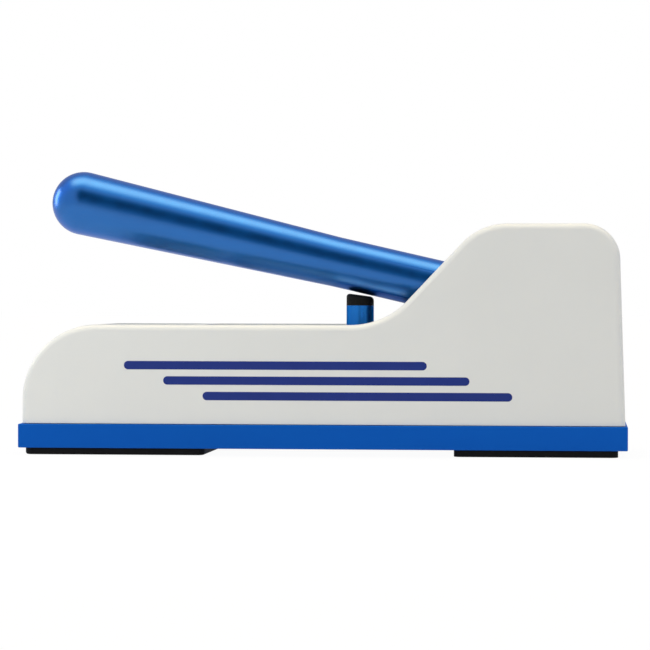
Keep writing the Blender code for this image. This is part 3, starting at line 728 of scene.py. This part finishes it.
def make_bracket():
    """A folded steel U: the sides' outline crossed with a folded section."""
    low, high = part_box("pivot_bracket")
    outer = BRACKET_INNER + BRACKET_THICK
    x0, x1, top = low.x, high.x, high.z
    side = fillet([(x0, low.z), (x1, low.z, 0.002), (x1, 0.034, 0.006), (0.1205, 0.074, 0.02),
                   (0.118, 0.086, 0.01), (0.105, top, 0.004), (x0, top, 0.003), (x0, low.z)], 6)
    bracket = prism("folded_bracket", side[:-1], -outer, outer, along="Y")
    inner, inner_z, over = BRACKET_INNER, low.z + BRACKET_FLOOR, 0.12
    section = fillet([(-outer, over), (-outer, low.z, 0.0045), (outer, low.z, 0.0045), (outer, over)], 6)
    section += reversed(fillet([(-inner, over), (-inner, inner_z, 0.0012), (inner, inner_z, 0.0012),
                                (inner, over)], 4))
    boolean(bracket, "INTERSECT", prism("folded_section", section, x0 - 0.01, x1 + 0.01, along="X"))
    cut(bracket, rod("pin_bore", PIN_R + GAP, -ACROSS, ACROSS, place=PIVOT, along="Y"),
        rod("stop_bore", STOP_ROD_R + GAP, -ACROSS, ACROSS, place=middle("stop_rod"), along="Y"))
    for node in BASE_SCREWS:
        if node.startswith("bracket"):
            cut(bracket, screw_hole(node, 0.03))
    settle(bracket)
    round_edges(bracket, 0.0003, 2, 40)
    stand_for(bracket, "pivot_bracket")

    grooved_rod("ground_pivot_pin", "pivot_pin", PIN_R)
    grooved_rod("ground_stop_rod", "stop_rod", STOP_ROD_R)
    for name, _ in SIDES:
        retaining_clip(f"pivot_e_clip_{name}", f"pivot_clip_{name}", "pivot_pin", PIN_R)
        retaining_clip(f"stop_e_clip_{name}", f"stop_clip_{name}", "stop_rod", STOP_ROD_R)
    half, radius, inner = half_size("stop_sleeve").y, half_size("stop_sleeve").z, STOP_ROD_R + GAP
    sleeve = turned("stop_rubber_sleeve", [(inner, -half), (radius, -half, 0.0008), (radius, half, 0.0008),
                                           (inner, half)], middle("stop_sleeve"), "Y")
    stand_for(sleeve, "stop_sleeve")


def make_handle_spring():
    low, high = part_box("spring_seat")
    radius, thick, peg_r = half_size("spring_seat").x, 0.003, 0.0045
    seat = turned("moulded_spring_seat", [
        (0, low.z), (radius, low.z, 0.0003), (radius, low.z + thick, 0.0008), (peg_r, low.z + thick, 0.0005),
        (peg_r, high.z, 0.0012), (0, high.z)], foot_of("spring_seat"))
    cut(seat, screw_hole("seat_screw", 0.0245))
    stand_for(seat, "spring_seat")

    coil = stand_for(spring("handle_return_spring", "handle_spring", **HANDLE_SPRING), "handle_spring")
    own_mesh(coil)


# Anvil, pillars and ram

def make_anvil():
    block = soft_slab("milled_anvil_block", "anvil_block", 0.0008, 0.0004, 0.0004, 2)
    low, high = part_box("anvil_plate")
    gap, over = 0.0003, 0.06
    cut(block, slab("anvil_pocket", (low.x - gap, high.x + gap), (low.y - gap, high.y + gap),
                    (low.z - gap, over)))
    block_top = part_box("anvil_block")[1].z
    well_low = block_top - SPRING_WELL_DEPTH
    bore_r = PILLAR_R + GAP
    for name, _ in SIDES:
        bore_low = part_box(f"guide_pillar_{name}")[0].z - gap
        place = foot_of(f"guide_pillar_{name}")
        profile = [(0, bore_low), (bore_r, bore_low), (bore_r, well_low), (SPRING_WELL_R, well_low),
                   (SPRING_WELL_R, block_top - gap), (SPRING_WELL_R + 2 * gap, block_top + gap),
                   (0, block_top + gap)]
        cut(block, turned(f"pillar_bore_{name}", profile, place, sides=48))
    for node in BASE_SCREWS:
        if node.startswith("anvil"):
            cut(block, screw_hole(node, 0.033))
    stand_for(block, "anvil_block")
    stand_for(soft_slab("ground_anvil_plate", "anvil_plate", 0.0008, 0.0004, 0.0005), "anvil_plate")


def make_pillars():
    """Both pillars, with a flanged screw in the top of each and a spring round it."""
    for name, _ in SIDES:
        low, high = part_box(f"guide_pillar_{name}")
        place = foot_of(f"guide_pillar_{name}")
        hole_low, hole_tip = 0.052, 0.051
        pillar = turned(f"ground_pillar_{name}", [
            (0, low.z), (PILLAR_R, low.z, 0.0005), (PILLAR_R, high.z, 0.0004), (SCREW_HOLE_R, high.z),
            (SCREW_HOLE_R, hole_low), (0, hole_tip)], place)
        stand_for(pillar, f"guide_pillar_{name}")

        node = f"pillar_screw_{name}"
        low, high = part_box(node)
        flange_r, flange_low = half_size(node).x, high.z - 0.0023
        flange_top = flange_low + 0.0008
        profile = thread(low.z, flange_low) + [
            (flange_r, flange_low, 0.0003), (flange_r, flange_top, 0.0003),
            (0.0043, flange_top + 0.0001, 0.0002), (0.0036, high.z, 0.0006), (0, high.z)]
        screw = turned(f"flanged_socket_screw_{name}", profile, place)
        socket = prism(f"socket_{name}", hexagon(0.0026), high.z - 0.0012, high.z + 0.001)
        socket.location = place
        cut(screw, socket)
        stand_for(screw, node)

        node = f"ram_spring_{name}"
        coil = stand_for(spring(f"ram_return_spring_{name}", node, **RAM_SPRING), node)
        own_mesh(coil)


def make_ram():
    """The plate with its bushes, the pad under it, and the screw that holds both to the post."""
    axis = foot_of("ram_post")
    low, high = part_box("ram_plate")
    through = (0.05, 0.07)
    plate = soft_slab("milled_ram_plate", "ram_plate", 0.004, 0.0005, 0.0005)
    cut(plate, rod("ram_hole", CLEARANCE_R, *through, place=axis, sides=40))
    for name, _ in SIDES:
        node = f"ram_bush_{name}"
        place = foot_of(node)
        cut(plate, rod(f"bush_bore_{name}", RAM_BUSH_R + GAP, *through, place=place))
        inner, flange_r, foot = PILLAR_R + GAP, half_size(node).x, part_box(node)[0].z
        flange_top, chamfer = low.z - GAP, 0.0003
        bush = turned(f"sintered_ram_bush_{name}", [
            (inner, foot + chamfer), (inner + chamfer, foot), (flange_r, foot, 0.0002),
            (flange_r, flange_top, 0.0002), (RAM_BUSH_R, flange_top), (RAM_BUSH_R, high.z, 0.0003),
            (inner + chamfer, high.z), (inner, high.z - chamfer)], place)
        stand_for(bush, node)
    settle(plate)
    round_edges(plate, 0.0002, 2)
    stand_for(plate, "ram_plate")

    low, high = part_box("crush_pad")
    radius = half_size("crush_pad").x
    outer_ring, ring_pitch, ring_half, ring_depth = 0.0148, 0.0012, 0.0003, 0.0002
    rings = []
    for i in range(9):
        r = outer_ring - i * ring_pitch
        rings += [(r, low.z), (r - ring_half, low.z + ring_depth), (r - 2 * ring_half, low.z)]
    sink_r, sink_top = 0.0044, low.z + 0.0021
    pad = turned("turned_crush_pad", [(radius, high.z), (radius, low.z, 0.0004)] + rings
                 + [(sink_r, low.z), (CLEARANCE_R, sink_top), (CLEARANCE_R, high.z)], axis, sides=96)
    stand_for(pad, "crush_pad")

    low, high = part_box("ram_screw")
    head_r, head_thick = 0.0038, 0.002
    head = [(0, low.z), (head_r, low.z, 0.0001), (SCREW_R, low.z + head_thick)]
    screw = turned("countersunk_ram_screw", head + list(reversed(thread(high.z, low.z + 0.0025))), axis)
    socket = prism("ram_socket", hexagon(0.0024), low.z - 0.001, low.z + 0.001)
    socket.location = axis
    cut(screw, socket)
    stand_for(screw, "ram_screw")
    make_post(axis)


def make_post(axis):
    """The blue post with a threaded hole from below, and its rubber cap."""
    low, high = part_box("ram_post")
    radius = half_size("ram_post").x
    post = turned("anodised_ram_post", [
        (0, low.z), (radius, low.z, 0.0002), (radius, high.z, 0.0001), (0, high.z)], axis, sides=96)
    hole_low, hole_top = 0.055, 0.0712
    cut(post, rod("post_thread", SCREW_HOLE_R, hole_low, hole_top, place=axis, sides=32))
    stand_for(post, "ram_post")
    post.data.materials[0] = FINISHES["post_blue"]

    # The cap sits tight on the post, and its top slants to meet the handle's lower side
    hair, lower_rim = 0.00002, 0.0005
    foot = high.z + hair
    top = high.z + CAP_THICK
    cap = turned("rubber_ram_cap", [(0, foot), (radius, foot, 0.0001), (radius, top, CAP_ROUND), (0, top)],
                 axis, sides=96)
    for vertex in cap.data.vertices:
        if vertex.co.z > foot + lower_rim:
            vertex.co.z -= math.tan(CAP_SLANT) * vertex.co.x
    stand_for(cap, "ram_cap")


# Screws

def thread(start, end):
    """The profile of a threaded shank from its chamfered tip to where its head or flange starts."""
    way = 1 if end > start else -1
    root = SCREW_R - THREAD_DEPTH
    profile = [(0, start), (root, start)]
    count = int(abs(end - start) / THREAD_PITCH) - 1
    for i in range(count):
        foot = start + way * THREAD_PITCH * (i + 0.3)
        profile += [(root, foot), (SCREW_R, foot + way * THREAD_PITCH / 2)]
    return profile + [(SCREW_R, end)]


def make_base_screw(node):
    """A socket cap screw from below, with a knurled head."""
    low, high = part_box(node)
    radius = half_size(node).x
    head_top = BASE_LOW.z + SINK_DEPTH - GAP
    place = foot_of(node)
    sides, knurl_depth = 72, 0.03
    head = [(0, low.z), (radius, low.z, 0.0005), (radius, head_top)]
    screw = turned(f"cap_screw_{node}", head + list(reversed(thread(high.z, head_top))), place, sides=sides)
    for vertex in screw.data.vertices:
        if math.hypot(*vertex.co.xy) > radius - 1e-5:
            turn = round(math.atan2(vertex.co.y, vertex.co.x) / math.tau * sides)
            vertex.co.xy *= 1 - knurl_depth * (turn % 2)
    socket = prism(f"socket_{node}", hexagon(0.0031), low.z - 0.001, low.z + 0.002)
    socket.location = place
    cut(screw, socket)
    stand_for(screw, node)


# Camera and light

def make_camera():
    camera = bpy.data.objects.new("camera", bpy.data.cameras.new("camera"))
    bpy.context.scene.collection.objects.link(camera)
    camera.data.lens = 156
    camera.data.sensor_width = 36
    camera.data.clip_start = 0.05
    camera.location = (0.1269, -1.4389, 0.0779)
    camera.rotation_euler = (math.radians(90 - 0.51), math.radians(-0.09), math.radians(5.1))
    bpy.context.scene.camera = camera


def make_stage():
    """A pale floor that lights the object from below. In the picture it is nearly all white and takes only
    a faint shadow, and in reflections it is partly white."""
    bm = bmesh.new()
    bmesh.ops.create_grid(bm, x_segments=1, y_segments=1, size=12)
    floor = add_object("floor", bm)
    paper = bpy.data.materials.new("floor_paper")
    paper.use_nodes = True
    tree = paper.node_tree
    lit = tree.nodes["Principled BSDF"]
    lit.inputs["Base Color"].default_value = (0.66, 0.66, 0.67, 1)
    lit.inputs["Roughness"].default_value = 0.9
    white = add_node(tree, "Emission", {"Color": (1, 1, 1, 1), "Strength": 1.02})
    picture_share, reflection_share = 0.94, 0.35
    path = add_node(tree, "LightPath").outputs
    seen = add_node(tree, "Math", {0: path["Is Camera Ray"], 1: picture_share},
                    operation="MULTIPLY").outputs[0]
    shine = add_node(tree, "Math", {0: path["Is Glossy Ray"], 1: reflection_share},
                     operation="MULTIPLY").outputs[0]
    share = add_node(tree, "Math", {0: seen, 1: shine}, operation="MAXIMUM").outputs[0]
    mixed = add_node(tree, "MixShader", {0: share, 1: lit.outputs[0], 2: white.outputs[0]})
    tree.links.new(mixed.outputs[0], tree.nodes["Material Output"].inputs["Surface"])
    floor.data.materials.append(paper)
    floor.location.z = -0.0002


def make_world():
    """White to the camera. As light, a studio: pale walls, a bright strip overhead, and dark in front of the
    object, where the camera stands."""
    world = bpy.data.worlds.new("studio")
    bpy.context.scene.world = world
    world.use_nodes = True
    tree = world.node_tree
    direction = add_node(tree, "TexCoord").outputs["Generated"]
    parts = add_node(tree, "SeparateXYZ", {0: direction})
    towards = add_node(tree, "Math", {0: parts.outputs["Y"], 1: -1}, operation="MULTIPLY").outputs[0]
    angle = add_node(tree, "Math", {0: parts.outputs["Z"], 1: towards}, operation="ARCTAN2").outputs[0]
    sideways = add_node(tree, "Math", {0: parts.outputs["X"]}, operation="ABSOLUTE").outputs[0]

    # The sky's level against the angle in degrees, from the camera's side over the top to the far side
    levels = [(0, SIDE_LIGHT), (55, SIDE_LIGHT), (70, SKY_LIGHT), (108, SKY_LIGHT),
              (125, FAR_LIGHT), (180, FAR_LIGHT)]
    sky = add_node(tree, "ValToRGB", {"Fac": spread(tree, angle, 0, 1, 0, math.pi)})
    ramp = sky.color_ramp
    for _ in levels[2:]:
        ramp.elements.new(1.0)
    for element, (degrees, level) in zip(ramp.elements, levels):
        element.position = degrees / 180
        element.color = (*level, 1)

    def region(low, high, soft, half_width, fade):
        """1 between two angles in degrees and near the middle, with soft borders."""
        above = spread(tree, angle, 0, 1, math.radians(low - soft), math.radians(low + soft))
        below = spread(tree, angle, 1, 0, math.radians(high - soft), math.radians(high + soft))
        within = spread(tree, sideways, 1, 0, half_width - fade, half_width + fade)
        both = add_node(tree, "Math", {0: above, 1: below}, operation="MULTIPLY").outputs[0]
        return add_node(tree, "Math", {0: both, 1: within}, operation="MULTIPLY").outputs[0]

    regions = [
        (region(low=-2, high=46, soft=6, half_width=0.13, fade=0.06), DARK_LIGHT),
        (region(low=14, high=46, soft=7, half_width=0.27, fade=0.09), DARK_LIGHT),
        (region(low=73, high=104, soft=8, half_width=0.50, fade=0.10), STRIP_LIGHT),
    ]
    colour = sky.outputs["Color"]
    for where, level in regions:
        colour = add_node(tree, "MixRGB", {"Fac": where, "Color1": colour,
                                           "Color2": (*level, 1)}).outputs["Color"]
    light = add_node(tree, "Background", {"Color": colour, "Strength": 1.0})
    white = add_node(tree, "Background", {"Color": (1, 1, 1, 1), "Strength": 1.0})
    seen = add_node(tree, "LightPath").outputs["Is Camera Ray"]
    mixed = add_node(tree, "MixShader", {0: seen, 1: light.outputs[0], 2: white.outputs[0]})
    tree.links.new(mixed.outputs[0], tree.nodes["World Output"].inputs["Surface"])


def softbox(name, place, aim, size, power, shine=True):
    lamp = bpy.data.lights.new(name, "AREA")
    lamp.shape = "RECTANGLE"
    lamp.size, lamp.size_y = size
    lamp.energy = power
    obj = bpy.data.objects.new(name, lamp)
    bpy.context.scene.collection.objects.link(obj)
    obj.location = place
    obj.rotation_euler = (Vector(place) - Vector(aim)).to_track_quat("Z", "Y").to_euler()
    obj.visible_camera = False
    obj.visible_glossy = shine


bpy.context.scene.view_settings.view_transform = "Standard"
FINISHES = make_finishes()
make_camera()
make_stage()
make_world()
softbox("front_left_softbox", place=(-0.33, -0.50, 0.28), aim=(-0.05, 0, 0.05), size=(0.45, 0.45), power=0.68,
        shine=False)
softbox("back_left_softbox", place=(-0.38, 0.087, 0.185), aim=(-0.125, 0, 0.128), size=(0.09, 0.14),
        power=0.155)
make_base()
make_foot("front_foot_rubber", "front_foot_pad", 0.0012)
make_foot("rear_foot_rubber", "rear_foot_pad", 0.0003)
make_housing()
make_stripes()
make_handle()
make_spring_button()
make_bracket()
make_handle_spring()
make_anvil()
make_pillars()
make_ram()
for screw_node in BASE_SCREWS:
    make_base_screw(screw_node)
